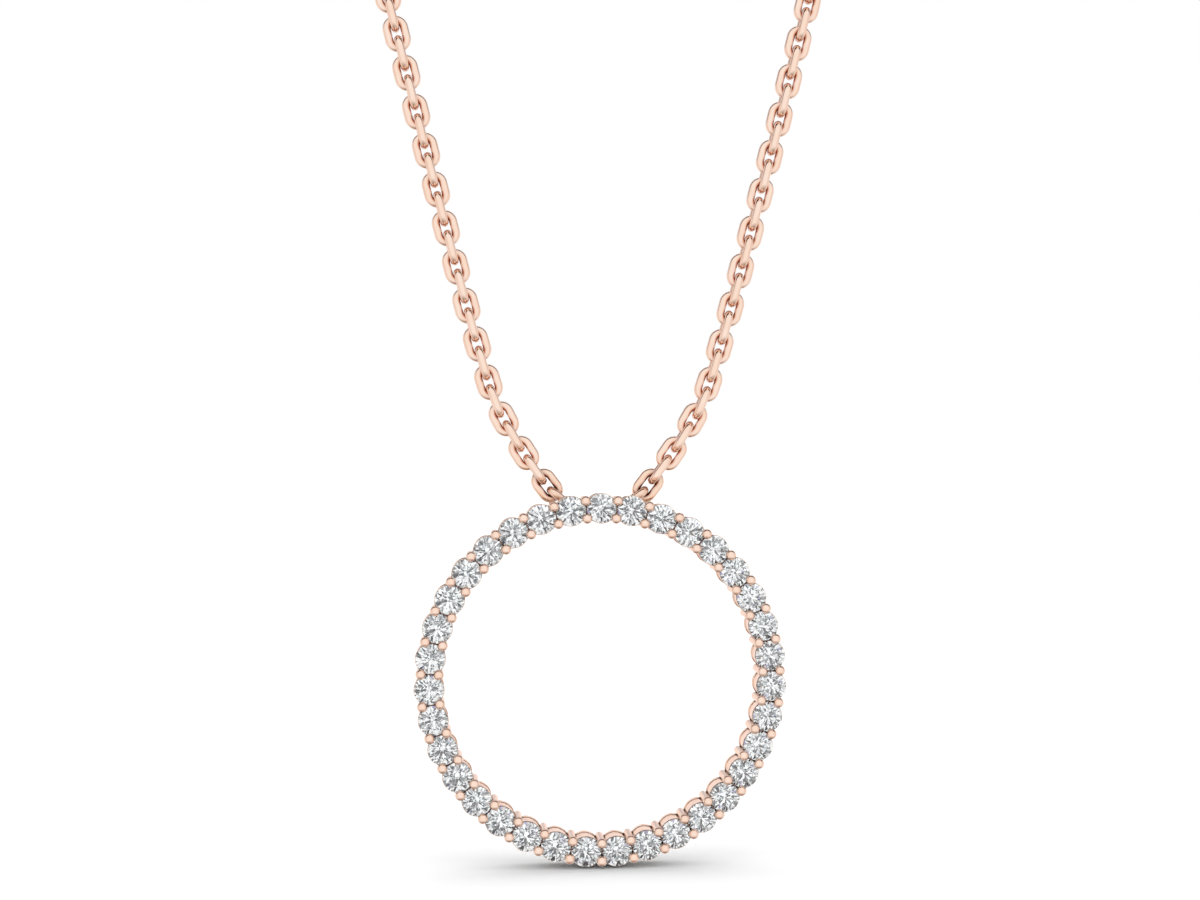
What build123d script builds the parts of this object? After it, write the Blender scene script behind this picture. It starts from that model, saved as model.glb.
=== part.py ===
from build123d import *
from math import atan2, cos, degrees, pi, radians, sin, tan
import os

# Open circle pendant on a cable chain, hanging as it is worn: millimetres, +Z up, the wearer faces -Y.
# The origin is the middle of the clasp at the nape, and left and right are the viewer's from the front.
# The ring's own frame is u to the viewer's right, v up and w towards the viewer, from the ring's centre.

# Round brilliant stones, side by side round the circle
STONE_COUNT = 35
STONE_DIAMETER = 1.60  # across the corners of the girdle
STONE_GAP = 0.048  # between neighbouring girdles
GIRDLE_THICKNESS = 0.05
TABLE_SHARE = 0.57  # of the stone's diameter
STONE_MAINS = 8  # main facets round the crown, and as many round the pavilion
CROWN_ANGLE = 34.5
PAVILION_ANGLE = 40.75
STAR_LENGTH = 0.50  # how far the star facets reach from the table to the girdle
LOWER_HALF_LENGTH = 0.77  # how far the lower half facets reach from the girdle to the centre

# Shared-prong setting: a tapered cup under each stone, a pair of prongs between neighbours
SETTING_DEPTH = 1.65  # from the girdle's middle to the backs of the cups and prongs
SEAT_CLEARANCE = 0.02  # between a stone and the metal that holds it
CUP_RIM_BACK = 0.08  # from the girdle's middle back to the cup's rim
CUP_RIM_STANDS_OUT = 0.03  # the rim outside the stone's edge
CUP_TAPER = 0.095  # how much smaller the cup's radius is at its back
CUP_WALL = 0.17
CUP_LIP = 0.05  # how far the lip round the cup's back stands out, on a slope of 45 degrees
CUP_LIP_DEPTH = 0.05  # of the lip's straight edge
PRONG_DIAMETER = 0.45
PRONG_SPACING = 0.95  # between the outer and inner prong of a pair
BEAD_DIAMETER = 0.56
BEAD_FORWARD = 0.12  # from the girdle's middle forward to the bead's centre
BRIDGE_FRONT = 0.45  # from the girdle's middle back to the bar between the prongs of a pair
BRIDGE_DEPTH = 0.50

# Eyelets behind the stones beside the top one
EYELET_STONE = 1  # stones away from the top one
EYELET_OFFSET = (-0.27, 0.11)  # u and v from that stone's centre
EYELET_BACK = 2.60  # from the girdle's middle back to the eyelet's plane
EYELET_WIRE = 0.24
EYELET_LEG = 0.22
EYELET_CLEARANCE = 0.05
EYELET_LEG_ROOT = 0.12  # how deep the eyelet's leg stands in the cup's wall

# Cable chain
LINK_LENGTH = 2.00
LINK_WIDTH = 1.40
LINK_WIRE = 0.45
LINK_CLEARANCE = 0.01
END_LINK_LEAN = 52.0  # degrees from upright, the link in the eyelet
NEXT_LINK_LEAN = 37.0  # degrees from upright, the link above it
CHAIN_GAP = 0.10  # between the chain's envelope and what it ends at
CORNER_SHARE = 0.45  # of the shorter run beside a corner of the route, which the corner's arc takes

# Clasp: a spring ring between two eyes
CLASP_DIAMETER = 5.60
CLASP_WIRE = 1.00
CLASP_EYE_DIAMETER = 1.60
CLASP_EYE_WIRE = 0.40
CLASP_EYE_ROOT = 0.10  # how deep an eye stands in the ring
CLASP_KNOB_DIAMETER = 0.80
CLASP_KNOB_HEIGHT = 0.60

# Where the eyelets hang below and in front of the nape
HANG_FORWARD = 102.30
HANG_DROP = 126.545

# The right strand's route, chosen by hand: the bend above the pendant, measured from where the strand
# starts there, and then the way to the clasp
CHAIN_BEND = [(1.106, 0, 1.761), (2.906, 0, 5.261)]
CHAIN_ROUTE = [
    (15.40, -102.3, -83.70),
    (21.10, -99.6, -64.50),
    (29.90, -92.8, -45.20),
    (39.70, -80.8, -28.90),
    (47.60, -64.5, -17.30),
    (50.00, -45.2, -9.60),
    (45.10, -26.0, -4.80),
    (33.40, -10.6, -1.90),
    (17.20, -1.9, -0.50),
]

# What follows from the sizes
STONE_RADIUS = STONE_DIAMETER / 2
STONE_PITCH = STONE_DIAMETER + STONE_GAP
STONE_STEP = 360 / STONE_COUNT
RING_RADIUS = STONE_PITCH / 2 / sin(radians(STONE_STEP / 2))
TOP = 90.0
CUP_RIM_RADIUS = STONE_RADIUS + CUP_RIM_STANDS_OUT
CUP_BACK_RADIUS = CUP_RIM_RADIUS - CUP_TAPER
EYELET_RADIUS = (LINK_WIRE + EYELET_WIRE) / 2 + EYELET_CLEARANCE
LINK_PITCH = LINK_LENGTH - 2 * LINK_WIRE - LINK_CLEARANCE
EYELET_ANGLE = radians(TOP - EYELET_STONE * STONE_STEP)
EYELET_AT = Vector(
    RING_RADIUS * cos(EYELET_ANGLE) + EYELET_OFFSET[0],
    RING_RADIUS * sin(EYELET_ANGLE) + EYELET_OFFSET[1],
    -EYELET_BACK,
)
RING_FRAME = Plane(
    origin=(0, -HANG_FORWARD - EYELET_BACK, -HANG_DROP - EYELET_AT.Y),
    x_dir=(1, 0, 0),
    z_dir=(0, -1, 0),
)


def around(angle, radius=RING_RADIUS):
    """The place at this angle round the ring, turned so that its u points away from the centre."""
    return Rot(0, 0, angle) * Pos(radius, 0, 0)


def facet(lean, azimuth, radius, height):
    """A plane that leans outwards from flat and passes through a point at this radius and height."""
    place = Rot(0, 0, azimuth) * Pos(radius, 0, height) * Rot(0, lean, 0)
    return Plane(place)


def brilliant():
    """A round brilliant with its table facing +Z: 57 facets and a girdle of flats."""
    girdle_sides = 2 * STONE_MAINS
    step = 360 / STONE_MAINS
    apothem = STONE_RADIUS * cos(pi / girdle_sides)
    girdle_top = GIRDLE_THICKNESS / 2
    table_radius = TABLE_SHARE * STONE_RADIUS
    table_apothem = table_radius * cos(pi / STONE_MAINS)
    table_height = girdle_top + (STONE_RADIUS - table_radius) * tan(radians(CROWN_ANGLE))

    star_radius = table_apothem + STAR_LENGTH * (STONE_RADIUS - table_apothem)
    star_rise = (STONE_RADIUS - star_radius * cos(pi / STONE_MAINS)) * tan(radians(CROWN_ANGLE))
    star_drop = table_height - girdle_top - star_rise
    star_lean = degrees(atan2(star_drop, star_radius - table_apothem))
    upper_lean = degrees(atan2(star_rise, apothem - star_radius * cos(pi / girdle_sides)))

    lower_radius = (1 - LOWER_HALF_LENGTH) * STONE_RADIUS
    lower_drop = (STONE_RADIUS - lower_radius * cos(pi / STONE_MAINS)) * tan(radians(PAVILION_ANGLE))
    lower_lean = degrees(atan2(lower_drop, apothem - lower_radius * cos(pi / girdle_sides)))

    stone = extrude(RegularPolygon(STONE_RADIUS, girdle_sides), amount=STONE_RADIUS, both=True)
    cuts = [facet(0, 0, 0, table_height)]
    for place in range(STONE_MAINS):
        main = place * step
        cuts.append(facet(CROWN_ANGLE, main, STONE_RADIUS, girdle_top))
        cuts.append(facet(star_lean, main + step / 2, table_apothem, table_height))
        cuts.append(facet(180 - PAVILION_ANGLE, main, STONE_RADIUS, -girdle_top))
        for half in (step / 4, 3 * step / 4):
            cuts.append(facet(upper_lean, main + half, apothem, girdle_top))
            cuts.append(facet(180 - lower_lean, main + half, apothem, -girdle_top))
    for cut in cuts:
        stone = split(stone, bisect_by=cut, keep=Keep.BOTTOM)
    return stone.solid()


def seat():
    """What the setting leaves free for one stone: its outline with clearance, open to the front."""
    wide = STONE_RADIUS + SEAT_CLEARANCE
    girdle = GIRDLE_THICKNESS / 2 + SEAT_CLEARANCE
    crown_rise = (1 - TABLE_SHARE) * STONE_RADIUS * tan(radians(CROWN_ANGLE))
    culet = girdle + wide * tan(radians(PAVILION_ANGLE))
    outline = Polyline(
        (0, 0, -culet),
        (wide, 0, -girdle),
        (wide, 0, girdle),
        (TABLE_SHARE * STONE_RADIUS, 0, girdle + crown_rise),
        (0, 0, girdle + crown_rise),
        (0, 0, -culet),
    )
    hole = revolve(make_face(outline), Axis.Z)
    bore_depth = SETTING_DEPTH + SEAT_CLEARANCE
    bore = Pos(0, 0, -bore_depth / 2) * Cylinder(CUP_BACK_RADIUS - CUP_WALL, bore_depth)
    return (hole + bore).solid()


def cup():
    """The tapered cup under one stone with the lip round its back, still filled."""
    lip_radius = CUP_BACK_RADIUS + CUP_LIP
    lip_front = CUP_LIP_DEPTH - SETTING_DEPTH
    outline = Polyline(
        (0, 0, -SETTING_DEPTH),
        (lip_radius, 0, -SETTING_DEPTH),
        (lip_radius, 0, lip_front),
        (CUP_BACK_RADIUS, 0, lip_front + CUP_LIP),
        (CUP_RIM_RADIUS, 0, -CUP_RIM_BACK),
        (0, 0, -CUP_RIM_BACK),
        (0, 0, -SETTING_DEPTH),
    )
    return revolve(make_face(outline), Axis.Z)


def prong():
    """A round post with the bead that holds two stones' edges."""
    length = SETTING_DEPTH + BEAD_FORWARD
    post = Pos(0, 0, BEAD_FORWARD - length / 2) * Cylinder(PRONG_DIAMETER / 2, length)
    return post + Pos(0, 0, BEAD_FORWARD) * Sphere(BEAD_DIAMETER / 2)


def bridge():
    """The bar that ties a pair of prongs to both cups beside it, ending inside their walls."""
    reach = STONE_PITCH - 2 * (CUP_BACK_RADIUS - CUP_WALL / 2)
    return Pos(0, 0, -BRIDGE_FRONT - BRIDGE_DEPTH / 2) * Box(PRONG_SPACING, reach, BRIDGE_DEPTH)


def eyelet():
    """The small ring behind the right eyelet stone, on a leg that stands in the cup's wall."""
    lean = radians(END_LINK_LEAN)
    leg_foot = EYELET_AT - EYELET_RADIUS * Vector(sin(lean), cos(lean), 0)
    leg_length = EYELET_BACK - SETTING_DEPTH + EYELET_LEG_ROOT
    ring = Pos(EYELET_AT) * Torus(EYELET_RADIUS, EYELET_WIRE / 2)
    leg = Pos(leg_foot + Vector(0, 0, leg_length / 2)) * Cylinder(EYELET_LEG / 2, leg_length)
    return ring + leg


def setting():
    """All the soldered metal of the circle: cups, prongs with beads, bridges and two eyelets."""
    half_step = STONE_STEP / 2
    pair_radius = RING_RADIUS * cos(radians(half_step))
    metal = around(0) * cup() + around(half_step, pair_radius) * bridge()
    for side in (-1, 1):
        metal += around(half_step, pair_radius + side * PRONG_SPACING / 2) * prong()
    turns = [Rot(0, 0, TOP + place * STONE_STEP) for place in range(STONE_COUNT)]
    eyelets = [eyelet(), mirror(eyelet(), about=Plane.YZ)]
    blank = (turns[0] * metal).solid().fuse(
        *[(turn * metal).solid() for turn in turns[1:]], *[ring.solid() for ring in eyelets]
    )
    hole = around(0) * seat()
    return blank.cut(*[turn * hole for turn in turns])


def link():
    """A link with straight sides and round ends round the origin, its length along Z, its width along X."""
    slot = SlotOverall(LINK_LENGTH - LINK_WIRE, LINK_WIDTH - LINK_WIRE, rotation=90)
    path = Rot(90, 0, 0) * slot.wire()
    return sweep((path ^ 0) * Circle(LINK_WIRE / 2), path=path).solid()


def lean_direction(lean):
    """The direction in the ring's frame that leans this many degrees right from upright."""
    return Vector(sin(radians(lean)), cos(radians(lean)), 0)


def end_links():
    """The right strand's two last links and the point above them where the chain goes on."""
    first = lean_direction(END_LINK_LEAN)
    second = lean_direction(NEXT_LINK_LEAN)
    bow = (LINK_LENGTH - LINK_WIRE) / 2
    first_at = EYELET_AT + bow * first
    hold = LINK_WIRE + LINK_CLEARANCE
    second_at = first_at + bow * first + (bow - hold) * second
    edge_on = Plane(first_at, x_dir=(0, 0, 1), z_dir=first)
    facing = Plane(second_at, x_dir=second.cross(Vector(0, 0, 1)), z_dir=second)
    go_on = second_at + (LINK_LENGTH / 2 + CHAIN_GAP) * second
    links = [RING_FRAME.location * plane.location * link() for plane in (edge_on, facing)]
    return links, RING_FRAME.from_local_coords(go_on)


def corner_radii(points):
    """The largest tangent arcs that the runs beside each corner leave room for."""
    radii = []
    for before, corner, after in zip(points, points[1:], points[2:]):
        run_in, run_out = corner - before, after - corner
        half_turn = radians(run_in.get_angle(run_out) / 2)
        radii.append(CORNER_SHARE * min(run_in.length, run_out.length) / tan(half_turn))
    return radii


def chain(start):
    """The envelope of the right strand: a round bar as wide as a link along the route."""
    clasp_end = CLASP_DIAMETER / 2 - CLASP_EYE_ROOT + CLASP_EYE_DIAMETER + CHAIN_GAP
    bend = [start + Vector(*step) for step in CHAIN_BEND]
    points = [start, *bend, *[Vector(*point) for point in CHAIN_ROUTE], Vector(clasp_end, 0, 0)]
    radii = corner_radii(points)
    path = FilletPolyline(*points, radius=radii)
    bar = sweep((path ^ 0) * Circle(LINK_WIDTH / 2), path=path).solid()
    section_times_length = pi * (LINK_WIDTH / 2) ** 2 * path.length
    print("corner radii", [round(radius, 1) for radius in radii])
    print(f"length {path.length:.2f}, volume {bar.volume:.2f}, by length {section_times_length:.2f}")
    return bar


def clasp():
    """A plain closed spring ring with its knob and an eye at each side."""
    ring_radius = (CLASP_DIAMETER - CLASP_WIRE) / 2
    eye_radius = (CLASP_EYE_DIAMETER - CLASP_EYE_WIRE) / 2
    eye_at = CLASP_DIAMETER / 2 - CLASP_EYE_ROOT + CLASP_EYE_DIAMETER / 2
    knob_length = CLASP_WIRE / 2 + CLASP_KNOB_HEIGHT
    knob = Cylinder(CLASP_KNOB_DIAMETER / 2, knob_length)
    body = Torus(ring_radius, CLASP_WIRE / 2)
    body += Pos(0, ring_radius + knob_length / 2, 0) * Rot(90, 0, 0) * knob
    for side in (-1, 1):
        body += Pos(side * eye_at, 0, 0) * Torus(eye_radius, CLASP_EYE_WIRE / 2)
    return (Rot(90, 0, 0) * body).solid()


def write(name, shape):
    """Write one piece under its node's name."""
    export_step(shape, f"parts/{name}.step")


os.makedirs("parts", exist_ok=True)
stone_cut = brilliant()
for place in range(STONE_COUNT):
    spot = RING_FRAME.location * around(TOP + place * STONE_STEP)
    write(f"stone_{place + 1:02d}", spot * stone_cut)
write("setting", RING_FRAME.location * setting())
right_links, chain_start = end_links()
for number, right_link in enumerate(right_links, 1):
    write(f"link_right_{number}", right_link)
    write(f"link_left_{number}", mirror(right_link, about=Plane.YZ))
right_chain = chain(chain_start)
write("chain_right", right_chain)
write("chain_left", mirror(right_chain, about=Plane.YZ))
write("clasp", clasp())
print("ring centre", RING_FRAME.origin, "eyelet", RING_FRAME.from_local_coords(EYELET_AT))
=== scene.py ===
"""Open circle pendant on a cable chain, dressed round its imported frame.

The circle's stones, its setting, the four lowest links and the clasp are the frame's own meshes with finer
materials. Each strand's plain bar is replaced by a run of interlocked links.
"""

import logging
import math
from dataclasses import dataclass, field
from enum import Enum

import bmesh
import bpy
from mathutils import Matrix, Quaternion, Vector

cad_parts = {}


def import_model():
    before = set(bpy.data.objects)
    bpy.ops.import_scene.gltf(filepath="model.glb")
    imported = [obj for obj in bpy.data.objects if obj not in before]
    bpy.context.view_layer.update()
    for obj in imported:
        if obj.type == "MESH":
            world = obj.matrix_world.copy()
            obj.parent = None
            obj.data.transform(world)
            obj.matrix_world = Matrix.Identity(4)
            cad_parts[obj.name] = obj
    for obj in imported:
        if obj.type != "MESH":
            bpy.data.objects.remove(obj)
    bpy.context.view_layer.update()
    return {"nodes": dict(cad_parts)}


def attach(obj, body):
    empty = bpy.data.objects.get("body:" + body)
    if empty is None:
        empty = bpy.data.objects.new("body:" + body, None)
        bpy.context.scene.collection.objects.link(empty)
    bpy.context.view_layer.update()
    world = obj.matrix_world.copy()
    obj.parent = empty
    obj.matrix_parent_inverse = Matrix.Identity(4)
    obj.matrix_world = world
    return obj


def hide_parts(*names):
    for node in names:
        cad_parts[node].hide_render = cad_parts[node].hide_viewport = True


Colour = tuple[float, float, float]
Triple = tuple[float, float, float]
Span = tuple[float, float]

LOG = logging.getLogger("pendant")
MM = 0.001
RING_CENTRE = Vector((0.0, -104.9, -135.7)) * MM

NONE_TO_ALL: Span = (0.0, 1.0)
SOFT_EDGE: Span = (1.25, 0.75)  # a patch fades out over a narrow band round its half sizes
GRADUAL: Span = (1.0, 0.0)  # a patch fades all the way from its middle to its half sizes

MIX_INPUTS = (0, 6, 7)  # a Mix node's share and its two colours
MIX_COLOUR = 2  # a Mix node's colour output
WELD_SHARE = 0.001  # vertices closer than this share of the wire's width are merged
SPLINE_ORDER = 3


class Side(Enum):
    """The two strands, as someone sees them who faces the wearer."""

    LEFT = -1
    RIGHT = 1

    @property
    def label(self) -> str:
        """The word that this side's nodes carry."""
        return self.name.lower()


class Turn(Enum):
    """How a link of a cable chain lies: every second one is turned by a quarter."""

    FACING = 0.0
    EDGE_ON = math.pi / 2


# How many millimetres each side's first points lie further out than on the way that both sides share
FURTHER_OUT = {
    Side.LEFT: (0.0, 0.12, 0.03, -0.19),
    Side.RIGHT: (0.0, 0.20, 0.25, 0.0),
}


def opaque(colour: Colour) -> tuple[float, float, float, float]:
    """Give a colour the alpha that a node's socket asks for.

    Args:
        colour: its red, green and blue.

    Returns:
        The colour with full alpha.
    """
    return (*colour, 1.0)


class NodeTree:
    """A short way to write shader nodes: most methods add one node and return its output socket."""

    def __init__(self, tree: bpy.types.NodeTree) -> None:
        """Take over a tree and empty it.

        Args:
            tree: the material's or world's node tree.
        """
        self.tree = tree
        tree.nodes.clear()

    def node(self, kind: str, **settings: object) -> bpy.types.Node:
        """Add a node and set its properties.

        Args:
            kind: the node's type name.
            settings: properties of the node, by name.

        Returns:
            The new node.
        """
        made = self.tree.nodes.new(kind)
        for name, value in settings.items():
            setattr(made, name, value)
        return made

    def put(self, socket: bpy.types.NodeSocket, value: object) -> None:
        """Link an output to a socket, or set the socket's own value.

        Args:
            socket: the input to fill.
            value: an output socket, or a number, colour or vector.
        """
        if isinstance(value, bpy.types.NodeSocket):
            self.tree.links.new(value, socket)
        else:
            socket.default_value = value

    def number(self, operation: str, *values: object) -> bpy.types.NodeSocket:
        """Work out a number.

        Args:
            operation: the Math node's operation.
            values: its inputs, in order.

        Returns:
            The node's output.
        """
        made = self.node("ShaderNodeMath", operation=operation)
        for socket, value in zip(made.inputs, values):
            self.put(socket, value)
        return made.outputs[0]

    def vector(self, operation: str, *values: object) -> bpy.types.Node:
        """Add a Vector Math node.

        Args:
            operation: the node's operation.
            values: its inputs, in order.

        Returns:
            The node, because some operations put out a number and others a vector.
        """
        made = self.node("ShaderNodeVectorMath", operation=operation)
        for socket, value in zip(made.inputs, values):
            self.put(socket, value)
        return made

    def ramp(self, value: object, span: Span, to: Span) -> bpy.types.NodeSocket:
        """Map a number smoothly from one span to another.

        Args:
            value: the number.
            span: where the change starts and ends.
            to: what the result is there.

        Returns:
            The node's output.
        """
        made = self.node("ShaderNodeMapRange", interpolation_type="SMOOTHSTEP")
        names = ("Value", "From Min", "From Max", "To Min", "To Max")
        for name, given in zip(names, (value, *span, *to)):
            self.put(made.inputs[name], given)
        return made.outputs[0]

    def mix(self, share: object, below: object, above: object) -> bpy.types.NodeSocket:
        """Mix two colours.

        Args:
            share: how much of the second there is.
            below: the first colour.
            above: the second colour.

        Returns:
            The node's colour output.
        """
        made = self.node("ShaderNodeMix", data_type="RGBA")
        for index, value in zip(MIX_INPUTS, (share, below, above)):
            self.put(made.inputs[index], value)
        return made.outputs[MIX_COLOUR]

    def noise(self, scale: float, space: str = "Object") -> bpy.types.NodeSocket:
        """A noise over the object's own coordinates, or in a world over the directions.

        Args:
            scale: its waves in a metre, or across the directions.
            space: the texture coordinate: "Object", or in a world "Generated".

        Returns:
            The noise's value, about 0.5 on average.
        """
        place = self.node("ShaderNodeTexCoord").outputs[space]
        made = self.node("ShaderNodeTexNoise")
        self.put(made.inputs["Vector"], place)
        self.put(made.inputs["Scale"], scale)
        return made.outputs[0]

    def finish(self, kind: str, surface: bpy.types.NodeSocket) -> None:
        """Add the tree's output.

        Args:
            kind: the output node's type name.
            surface: what it shows.
        """
        self.put(self.node(kind).inputs["Surface"], surface)


def new_material(name: str) -> tuple[bpy.types.Material, NodeTree]:
    """Make a material that has no nodes yet.

    Args:
        name: the material's name.

    Returns:
        The material, and its tree to put them in.
    """
    made = bpy.data.materials.new(name)
    made.use_nodes = True
    return made, NodeTree(made.node_tree)


@dataclass(frozen=True)
class RoseGold:
    """Polished rose gold, with the faint unevenness of hand polishing and painted shade where metal or a
    stone is close by.

    Attributes:
        name: the material's name.
        colour: its tint.
        warm: the slightly warmer tint that it has in places.
        crevice_shade: the painted shade, a dark tint laid on the metal where metal or a stone is close by.
        shade_span: how open a place is where that painted shade starts to fade and where it is gone.
        shade_reach: how close something has to be to count for that.
        openness_samples: how many directions are tried for it.
        tint_span: where in the patches the warmer tint starts and is complete.
        gloss_span: where in the patches the roughness starts and stops rising.
        roughness: how rough it is at the two ends of that.
        patch_scale: the patches' waves in a metre.
        grain_scale: the fine grain's waves in a metre.
        grain_height: how high the grain is.
    """

    name: str
    colour: Colour = (0.98, 0.77, 0.65)
    warm: Colour = (0.97, 0.73, 0.595)
    # Painted shade: the metal's colour is drawn towards this dark tint where the AO node finds metal or a
    # stone close by.
    crevice_shade: Colour = (0.66, 0.37, 0.28)
    shade_span: Span = (0.10, 0.92)
    shade_reach: float = 0.80 * MM
    openness_samples: int = 8
    tint_span: Span = (0.35, 0.65)
    gloss_span: Span = (0.3, 0.7)
    roughness: Span = (0.10, 0.18)
    patch_scale: float = 900.0
    grain_scale: float = 9000.0
    grain_height: float = 0.0015 * MM

    def material(self) -> bpy.types.Material:
        """Make the material.

        Returns:
            A metal whose tint, gloss and surface vary a little from place to place, darkened by painted
            shade where metal or a stone is close by.
        """
        made, nodes = new_material(self.name)
        shader = nodes.node("ShaderNodeBsdfPrincipled")
        nodes.put(shader.inputs["Metallic"], 1.0)
        patches = nodes.noise(self.patch_scale)
        tint = nodes.ramp(patches, self.tint_span, NONE_TO_ALL)
        open_colour = nodes.mix(tint, opaque(self.colour), opaque(self.warm))
        # Painted shade: the Ambient Occlusion node's openness darkens the colour towards the shade tint in
        # narrow places.
        openness = nodes.node("ShaderNodeAmbientOcclusion", samples=self.openness_samples)
        nodes.put(openness.inputs["Distance"], self.shade_reach)
        unshaded = nodes.ramp(openness.outputs["AO"], self.shade_span, NONE_TO_ALL)
        nodes.put(shader.inputs["Base Color"], nodes.mix(unshaded, opaque(self.crevice_shade), open_colour))
        nodes.put(shader.inputs["Roughness"], nodes.ramp(patches, self.gloss_span, self.roughness))
        bump = nodes.node("ShaderNodeBump")
        nodes.put(bump.inputs["Height"], nodes.noise(self.grain_scale))
        nodes.put(bump.inputs["Distance"], self.grain_height)
        nodes.put(shader.inputs["Normal"], bump.outputs[0])
        nodes.finish("ShaderNodeOutputMaterial", shader.outputs[0])
        return made


@dataclass(frozen=True)
class Diamond:
    """Clear cut stone."""

    name: str
    index: float = 2.417
    colour: Colour = (1.0, 1.0, 1.0)

    def material(self) -> bpy.types.Material:
        """Make the material.

        Returns:
            A clear glass of diamond's refraction, with flat polished facets.
        """
        made, nodes = new_material(self.name)
        shader = nodes.node("ShaderNodeBsdfPrincipled")
        nodes.put(shader.inputs["Base Color"], opaque(self.colour))
        nodes.put(shader.inputs["Transmission Weight"], 1.0)
        nodes.put(shader.inputs["Roughness"], 0.0)
        nodes.put(shader.inputs["IOR"], self.index)
        nodes.finish("ShaderNodeOutputMaterial", shader.outputs[0])
        return made


@dataclass(frozen=True)
class PlainWhite:
    """The matt white of the floor."""

    name: str
    colour: Colour = (0.93, 0.93, 0.93)

    def material(self) -> bpy.types.Material:
        """Make the material.

        Returns:
            A matt white.
        """
        made, nodes = new_material(self.name)
        shader = nodes.node("ShaderNodeBsdfDiffuse")
        nodes.put(shader.inputs["Color"], opaque(self.colour))
        nodes.finish("ShaderNodeOutputMaterial", shader.outputs[0])
        return made


# Painted shade: the chain's links take the default warm-brown tint where they pass close to each other.
CHAIN_GOLD = RoseGold("chain_gold")
# Painted shade: a near-black tint where the cups, posts, beads and stones are close together.
SETTING_GOLD = RoseGold(
    "setting_gold",
    crevice_shade=(0.06, 0.02, 0.015),
    shade_span=(0.12, 0.80),
    shade_reach=0.32 * MM,
)
# Painted shade: a deep red-brown tint where the lowest links and the clasp hook through each other.
HOOK_GOLD = RoseGold(
    "hook_gold",
    colour=(0.98, 0.75, 0.61),
    warm=(0.97, 0.71, 0.56),
    crevice_shade=(0.20, 0.05, 0.03),
    shade_span=(0.18, 1.0),
)
CLEAR_DIAMOND = Diamond("clear_diamond")
FLOOR_WHITE = PlainWhite("floor_white")


def mesh_object(name: str, bm: bmesh.types.BMesh, material: bpy.types.Material) -> bpy.types.Object:
    """Make a bmesh into a smooth object at the origin, and free the bmesh.

    Args:
        name: the object's name.
        bm: the finished shape, in place.
        material: what it is made of.

    Returns:
        The object, linked to the scene.
    """
    data = bpy.data.meshes.new(name)
    for face in bm.faces:
        face.smooth = True
    bm.to_mesh(data)
    bm.free()
    data.materials.append(material)
    made = bpy.data.objects.new(name, data)
    bpy.context.scene.collection.objects.link(made)
    return made


@dataclass(frozen=True)
class LinkSteps:
    """How finely a link is divided.

    Attributes:
        end: the steps round each round end.
        side: the steps along each straight side.
        wire: the steps round the wire.
    """

    end: int
    side: int
    wire: int


@dataclass(frozen=True)
class LinkShape:
    """A link of round wire with straight sides and round ends."""

    length: float = 2.00 * MM
    width: float = 1.40 * MM
    wire: float = 0.45 * MM
    clearance: float = 0.01 * MM

    @property
    def pitch(self) -> float:
        """How far apart the centres of two hooked links are."""
        return self.length - 2 * self.wire - self.clearance

    def mesh(self, name: str, steps: LinkSteps) -> bpy.types.Mesh:
        """Draw the wire's section out along each side of the link and spin it round each end.

        Args:
            name: the mesh's name.
            steps: how finely it is divided.

        Returns:
            A closed link round the origin, its length along Z and its width along X.
        """
        bow_radius = (self.width - self.wire) / 2
        bow_centre = (self.length - self.width) / 2
        bm = bmesh.new()
        start = Matrix.Translation((bow_radius, 0, -bow_centre))
        bmesh.ops.create_circle(bm, segments=steps.wire, radius=self.wire / 2, matrix=start)
        section = [*bm.verts, *bm.edges]
        for end in (1, -1):
            step = Vector((0, 0, end * 2 * bow_centre / steps.side))
            drawn = bmesh.ops.spin(
                bm, geom=section, cent=(0, 0, 0), axis=(0, 1, 0), dvec=step, angle=0.0, steps=steps.side
            )
            spun = bmesh.ops.spin(
                bm, geom=drawn["geom_last"], cent=(0, 0, end * bow_centre), axis=(0, -1, 0),
                dvec=(0, 0, 0), angle=math.pi, steps=steps.end,
            )
            section = spun["geom_last"]
        bmesh.ops.remove_doubles(bm, verts=bm.verts, dist=self.wire * WELD_SHARE)
        bmesh.ops.recalc_face_normals(bm, faces=bm.faces)
        data = bpy.data.meshes.new(name)
        bm.to_mesh(data)
        bm.free()
        return data


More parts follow.
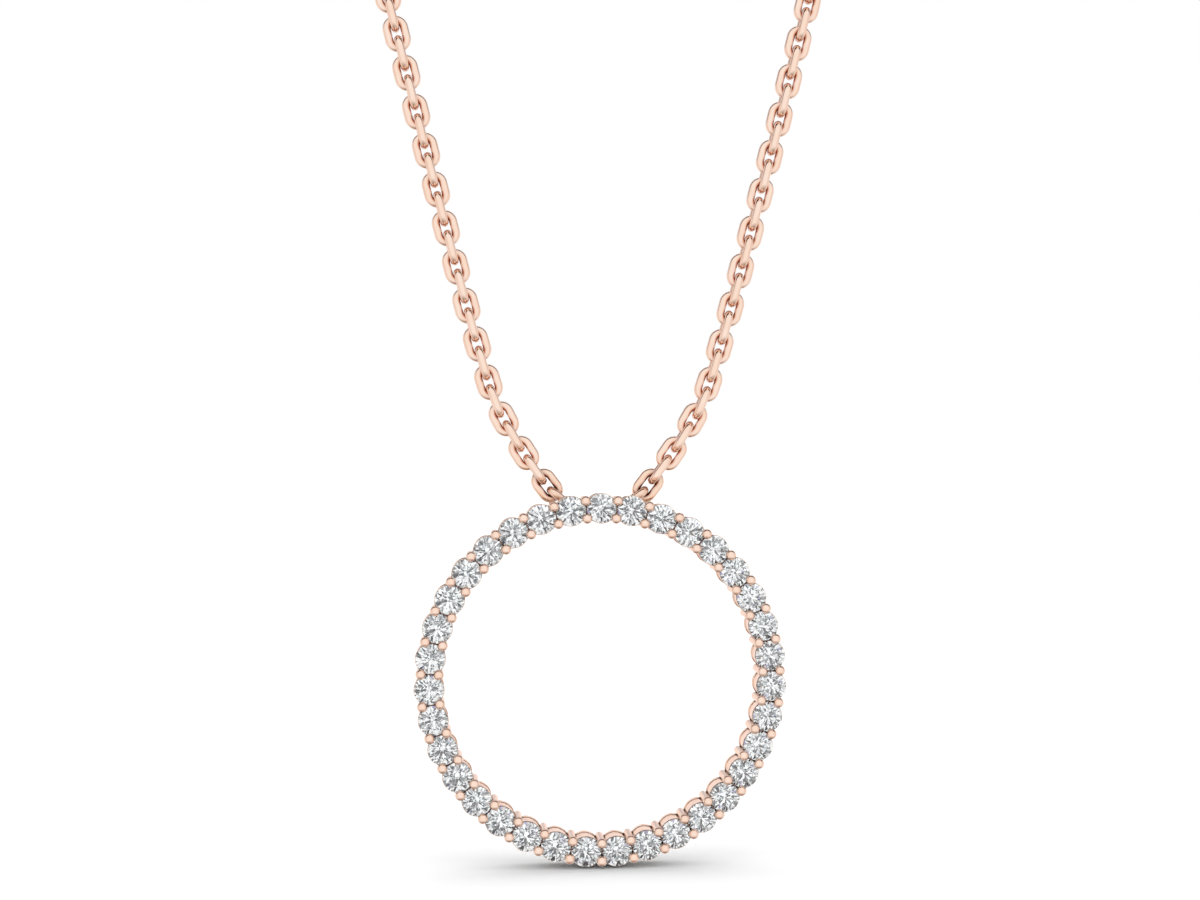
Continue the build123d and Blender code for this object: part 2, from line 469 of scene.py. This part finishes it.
class Line:
    """A smooth line through space, which gives a place and a direction at any distance along it."""

    def __init__(self, points: list[Vector]) -> None:
        """Keep the line's points and how far along it each one lies.

        Args:
            points: closely spaced points along the line.
        """
        self.points = points
        self.reach = [0.0]
        for before, after in zip(points, points[1:]):
            self.reach.append(self.reach[-1] + (after - before).length)

    @classmethod
    def through(cls, name: str, route: list[Vector], divisions: int) -> "Line":
        """Read the points of a NURBS spline that has the route's points as its control points.

        Args:
            name: the curve's name while it is there.
            route: the control points.
            divisions: how many steps the spline takes from one control point to the next.

        Returns:
            The line.
        """
        curve = bpy.data.curves.new(name, "CURVE")
        curve.dimensions = "3D"
        curve.resolution_u = divisions
        spline = curve.splines.new("NURBS")
        spline.points.add(len(route) - 1)
        for point, place in zip(spline.points, route):
            point.co = (*place, 1.0)
        spline.order_u = SPLINE_ORDER
        spline.use_endpoint_u = True
        holder = bpy.data.objects.new(name, curve)
        bpy.context.scene.collection.objects.link(holder)
        bpy.context.view_layer.update()
        drawn = bpy.data.meshes.new_from_object(holder)
        points = [vertex.co.copy() for vertex in drawn.vertices]
        bpy.data.objects.remove(holder)
        bpy.data.curves.remove(curve)
        bpy.data.meshes.remove(drawn)
        return cls(points)

    @property
    def length(self) -> float:
        """How long the line is."""
        return self.reach[-1]

    def at(self, distance: float) -> tuple[Vector, Vector]:
        """Find a place along the line.

        Args:
            distance: how far along it lies.

        Returns:
            The place, and the direction in which the line goes on there.
        """
        last = len(self.reach) - 1
        after = next((i for i, reach in enumerate(self.reach) if reach > distance), last)
        run = self.points[after] - self.points[after - 1]
        share = (distance - self.reach[after - 1]) / (self.reach[after] - self.reach[after - 1])
        return self.points[after - 1] + share * run, run.normalized()


@dataclass(frozen=True)
class Spot:
    """Where one link lies, before its turn.

    Attributes:
        place: its centre.
        along: the direction of the chain there.
        front: the direction that faces the viewer above the pendant, carried along the chain.
    """

    place: Vector
    along: Vector
    front: Vector


@dataclass
class Strand:
    """One strand of the chain, from above the pendant to the clasp.

    Attributes:
        side: which strand it is.
        gold: what it is made of.
        link: the shape of its links.
        near_steps: how finely the links by the pendant are divided.
        far_steps: how finely the others are.
        near_count: how many links there are by the pendant.
        last_at: how far before the line's end the last link lies.
        twist_from: how far along the line the slow twist starts.
        divisions: how many steps the line takes from one point of the route to the next.
        start: the line's start, in millimetres.
        bend: the bend above the pendant, in millimetres from the start.
        route: the right strand's way from there to the clasp, in millimetres.
    """

    side: Side
    gold: bpy.types.Material
    link: LinkShape = field(default_factory=LinkShape)
    near_steps: LinkSteps = LinkSteps(end=16, side=2, wire=16)
    far_steps: LinkSteps = LinkSteps(end=5, side=1, wire=6)
    near_count: int = 30
    last_at: float = 0.03 * MM
    twist_from: float = 60.0 * MM
    divisions: int = 24
    start: Vector = Vector((3.444, -102.3, -124.461))
    bend: tuple[Triple, ...] = ((1.106, 0, 1.761), (2.906, 0, 5.261))
    route: tuple[Triple, ...] = (
        (15.40, -102.3, -83.70),
        (21.10, -99.6, -64.50),
        (29.90, -92.8, -45.20),
        (39.70, -80.8, -28.90),
        (47.60, -64.5, -17.30),
        (50.00, -45.2, -9.60),
        (45.10, -26.0, -4.80),
        (33.40, -10.6, -1.90),
        (17.20, -1.9, -0.50),
        (4.40, 0.0, 0.0),
    )

    def line(self) -> Line:
        """The smooth line that this strand's links follow.

        Returns:
            The line, from above the pendant to the clasp.
        """
        points = [self.start.copy(), *[self.start + Vector(step) for step in self.bend]]
        points += [Vector(point) for point in self.route]
        for point, out in zip(points, FURTHER_OUT[self.side]):
            point.x += out
        mirror = Vector((self.side.value, 1, 1))
        placed = [point * mirror * MM for point in points]
        return Line.through(f"route_{self.side.label}", placed, self.divisions)

    def spots(self, line: Line, pitch: float, count: int) -> list[Spot]:
        """Lay links along the line, their faces turning with it but not round it.

        Args:
            line: the line.
            pitch: how far apart the links lie.
            count: how many there are.

        Returns:
            One spot for each link.
        """
        front = Vector((0, -1, 0))
        before = None
        made = []
        for number in range(count):
            place, along = line.at(number * pitch)
            if before is not None:
                front = before.rotation_difference(along) @ front
            before = along
            made.append(Spot(place, along, front.copy()))
        return made

    def closing_twist(self, last: Spot) -> float:
        """How far the last link has to turn round the line to pass through the clasp's eye.

        Args:
            last: the last link's spot.

        Returns:
            The angle.
        """
        wanted = Vector((0, 1, 0))
        wanted = (wanted - wanted.dot(last.along) * last.along).normalized()
        return math.atan2(last.front.cross(wanted).dot(last.along), last.front.dot(wanted))

    def places(self) -> list[Matrix]:
        """Work out where each link lies.

        The faces of the links turn with the line, and a slow twist along its hidden part brings them round
        so that the last one passes through the clasp's eye. The gaps are even in number, so that the last
        link is edge-on as the first is.

        Returns:
            One matrix for each link, from the pendant to the clasp.
        """
        line = self.line()
        gaps = 2 * round((line.length - self.last_at) / self.link.pitch / 2)
        pitch = (line.length - self.last_at) / gaps
        spots = self.spots(line, pitch, gaps + 1)
        twist = self.closing_twist(spots[-1])
        made = []
        for number, spot in enumerate(spots):
            share = max(0.0, number * pitch - self.twist_from) / (line.length - self.twist_from)
            turn = Turn.EDGE_ON if number % 2 == 0 else Turn.FACING
            face = Quaternion(spot.along, twist * share + turn.value) @ spot.front
            across = face.cross(spot.along).normalized()
            turned = Matrix((across, face, spot.along)).transposed().to_4x4()
            made.append(Matrix.Translation(spot.place) @ turned)
        LOG.info("%s strand: %d links, pitch %.4f mm", self.side.label, len(made), pitch / MM)
        return made

    def piece(self, name: str, places: list[Matrix], steps: LinkSteps) -> None:
        """Join the links of one stretch into a piece that rides with the chain in place of the bar.

        Args:
            name: the piece's name.
            places: where its links lie.
            steps: how finely they are divided.
        """
        shape = self.link.mesh(f"{name}_link", steps)
        bm = bmesh.new()
        for place in places:
            known = len(bm.verts)
            bm.from_mesh(shape)
            bm.verts.ensure_lookup_table()
            bmesh.ops.transform(bm, matrix=place, verts=bm.verts[known:])
        bpy.data.meshes.remove(shape)
        made = mesh_object(name, bm, self.gold)
        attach(made, "chain")
        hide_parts(f"chain_{self.side.label}")
        LOG.info("%s: %d links", name, len(places))

    def build(self) -> None:
        """Build the finely divided links by the pendant, and the plainer ones that lead on to the clasp."""
        places = self.places()
        label = self.side.label
        self.piece(f"links_{label}_front", places[: self.near_count], self.near_steps)
        self.piece(f"links_{label}_back", places[self.near_count :], self.far_steps)


@dataclass
class Circle:
    """The circle's setting with its stones, which keep the frame's meshes."""

    nodes: dict[str, bpy.types.Object]
    gold: bpy.types.Material
    diamond: bpy.types.Material

    def dress(self) -> None:
        """Give the setting and the stones their materials."""
        for name, node in self.nodes.items():
            if name.startswith("stone_"):
                node.material_slots[0].material = self.diamond
        self.nodes["setting"].material_slots[0].material = self.gold
        LOG.info("circle dressed")


@dataclass
class Fittings:
    """The lowest links and the clasp, which keep the frame's meshes."""

    nodes: dict[str, bpy.types.Object]
    gold: bpy.types.Material

    def dress(self) -> None:
        """Give each fitting its material."""
        for name in ("link_left_1", "link_left_2", "link_right_1", "link_right_2", "clasp"):
            self.nodes[name].material_slots[0].material = self.gold
            LOG.info("%s dressed", name)


@dataclass(frozen=True)
class Patch:
    """A soft-edged oval patch of the studio's surroundings.

    Attributes:
        name: what it stands for.
        direction: where its middle is.
        half: its half sizes along X, Y and Z, on a ball of radius 1.
        light: its colour.
        edge: where it starts and is complete, in shares of its half sizes.
    """

    name: str
    direction: Triple
    half: Triple
    light: Colour
    edge: Span = SOFT_EDGE


@dataclass
class Studio:
    """White surroundings with soft darker patches for the polished surfaces, a white floor and the camera.

    Attributes:
        floor_height: the floor's height, just below the circle.
        floor_size: how wide and deep it is.
        floor_light: what lights the floor.
        gleam_light: what the metal and stones throw back on the floor.
        plain_light: the white that shows behind the part, and that the metal mirrors between the patches.
        camera_offset: the camera's place in millimetres from the circle's centre.
        camera_turn: how far it is turned from straight ahead, in degrees.
        lens: its focal length in millimetres.
        sensor: its frame's width in millimetres.
        clip_start: the nearest that it sees.
        reflected: the patches that the metal mirrors.
        refracted: the patches that show in the stones.
        stone_dark: the darkest light in the stones.
        stone_light: the brightest light in the stones.
        grey_scale: how fine the grey blotches in the stones are.
        grey_span: where in the noise they fade.
        grey_share: how bright they are and how bright it is beside them.
        dark_scale: how fine the dark blotches in the stones are.
        dark_span: where in the noise they fade.
        dark_share: how bright they are and how bright it is beside them.
    """

    floor_height: float = -145.75 * MM
    floor_size: float = 20.0
    floor_light: Colour = (1.24, 1.24, 1.24)
    gleam_light: Colour = (0.10, 0.12, 0.135)
    plain_light: Colour = (1.0, 1.0, 1.0)
    camera_offset: Vector = Vector((-7.81, -91.37, 12.31))
    camera_turn: float = -4.83
    lens: float = 51.48
    sensor: float = 36.0
    clip_start: float = 1 * MM
    reflected: tuple[Patch, ...] = (
        Patch("left_side", (-1.0, 0.0, 0.0), (0.75, 1.2, 1.2), (0.84, 0.76, 0.72), GRADUAL),
        Patch("right_side", (1.0, 0.0, 0.0), (0.75, 1.2, 1.2), (0.84, 0.76, 0.72), GRADUAL),
        Patch("ground", (0.0, 0.2, -1.0), (1.6, 1.4, 0.85), (0.32, 0.20, 0.15), GRADUAL),
        Patch("horizon", (0.0, 1.0, 0.0), (0.9, 0.6, 0.22), (1.0, 0.86, 0.80)),
        Patch("backdrop", (0.0, 0.89, 0.45), (0.9, 0.6, 0.26), (0.60, 0.59, 0.64)),
        Patch("overhead_strip", (0.0, 0.20, 1.0), (1.3, 0.30, 0.95), (0.06, 0.014, 0.010)),
        Patch("overhead_lamp", (0.0, -0.20, 1.0), (0.10, 0.32, 0.4), (0.85, 0.74, 0.68)),
    )
    refracted: tuple[Patch, ...] = (
        Patch("fire", (-0.55, -0.7, 0.45), (0.14, 0.14, 0.14), (0.38, 0.38, 0.67)),
    )
    stone_dark: Colour = (0.0, 0.015, 0.03)
    stone_light: Colour = (1.27, 1.31, 1.32)
    grey_scale: float = 7.0
    grey_span: Span = (0.38, 0.56)
    grey_share: Span = (0.16, 1.0)
    dark_scale: float = 2.6
    dark_span: Span = (0.41, 0.44)
    dark_share: Span = (0.0, 1.0)

    def patched(self, nodes: NodeTree, light: object, patches: tuple[Patch, ...]) -> object:
        """Lay soft patches over the surroundings.

        Args:
            nodes: the world's nodes.
            light: what is there without them.
            patches: the patches, from the lowest to the topmost.

        Returns:
            The light with the patches in it.
        """
        direction = nodes.node("ShaderNodeTexCoord").outputs["Generated"]
        for patch in patches:
            middle = tuple(Vector(patch.direction).normalized())
            away = nodes.vector("SUBTRACT", direction, middle)
            scaled = nodes.vector("DIVIDE", away.outputs[0], patch.half)
            reach = nodes.vector("LENGTH", scaled.outputs[0]).outputs["Value"]
            light = nodes.mix(nodes.ramp(reach, patch.edge, NONE_TO_ALL), light, opaque(patch.light))
            LOG.info("%s patch laid", patch.name)
        return light

    def light_in_stones(self, nodes: NodeTree) -> bpy.types.NodeSocket:
        """Make what shows in the cut stones: blotches of white, grey and dark, with a little fire.

        Args:
            nodes: the world's nodes.

        Returns:
            The light.
        """
        greys = nodes.ramp(nodes.noise(self.grey_scale, "Generated"), self.grey_span, self.grey_share)
        darks = nodes.ramp(nodes.noise(self.dark_scale, "Generated"), self.dark_span, self.dark_share)
        light_share = nodes.number("MULTIPLY", greys, darks)
        blotched = nodes.mix(light_share, opaque(self.stone_dark), opaque(self.stone_light))
        return self.patched(nodes, blotched, self.refracted)

    def world(self) -> None:
        """Make the surroundings.

        The metal mirrors the patched white, the stones show their own blotches and the camera sees plain
        white. The floor's light is even. Where the part is in its way, the part's own gleam replaces it.
        """
        made = bpy.data.worlds.new("studio")
        bpy.context.scene.world = made
        made.use_nodes = True
        made.cycles.sampling_method = "NONE"
        nodes = NodeTree(made.node_tree)
        metal = self.patched(nodes, opaque(self.plain_light), self.reflected)
        stones = self.light_in_stones(nodes)
        path = nodes.node("ShaderNodeLightPath")
        light = nodes.mix(path.outputs["Is Transmission Ray"], metal, stones)
        off_floor = nodes.number("MINIMUM", path.outputs["Diffuse Depth"], 1.0)
        light = nodes.mix(off_floor, light, opaque(self.gleam_light))
        light = nodes.mix(path.outputs["Is Diffuse Ray"], light, opaque(self.floor_light))
        light = nodes.mix(path.outputs["Is Camera Ray"], light, opaque(self.plain_light))
        background = nodes.node("ShaderNodeBackground")
        nodes.put(background.inputs["Color"], light)
        nodes.finish("ShaderNodeOutputWorld", background.outputs[0])

    def floor(self) -> None:
        """Make the floor."""
        bm = bmesh.new()
        bmesh.ops.create_grid(
            bm, x_segments=1, y_segments=1, size=self.floor_size / 2,
            matrix=Matrix.Translation((0, 0, self.floor_height)),
        )
        made = mesh_object("floor", bm, FLOOR_WHITE.material())
        made.visible_glossy = False
        made.visible_transmission = False

    def camera(self) -> None:
        """Make the camera, where the photograph was taken from."""
        data = bpy.data.cameras.new("camera")
        data.lens = self.lens
        data.sensor_width = self.sensor
        data.clip_start = self.clip_start
        made = bpy.data.objects.new("camera", data)
        made.location = RING_CENTRE + self.camera_offset * MM
        made.rotation_euler = (math.pi / 2, 0, math.radians(self.camera_turn))
        bpy.context.scene.collection.objects.link(made)
        bpy.context.scene.camera = made

    def build(self) -> None:
        """Set up the whole studio."""
        self.world()
        self.floor()
        self.camera()
        bpy.context.scene.view_settings.view_transform = "Standard"
        LOG.info("studio ready")


def main(frame: dict) -> None:
    """Dress the part and set up the studio.
    """
    chain_gold = CHAIN_GOLD.material()
    setting_gold = SETTING_GOLD.material()
    hook_gold = HOOK_GOLD.material()
    diamond = CLEAR_DIAMOND.material()
    Circle(frame["nodes"], setting_gold, diamond).dress()
    Fittings(frame["nodes"], hook_gold).dress()
    for side in Side:
        Strand(side, chain_gold).build()
    Studio().build()


if __name__ == "__main__":
    logging.basicConfig(level=logging.INFO, format="%(name)s: %(message)s")
    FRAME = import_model()
    main(FRAME)
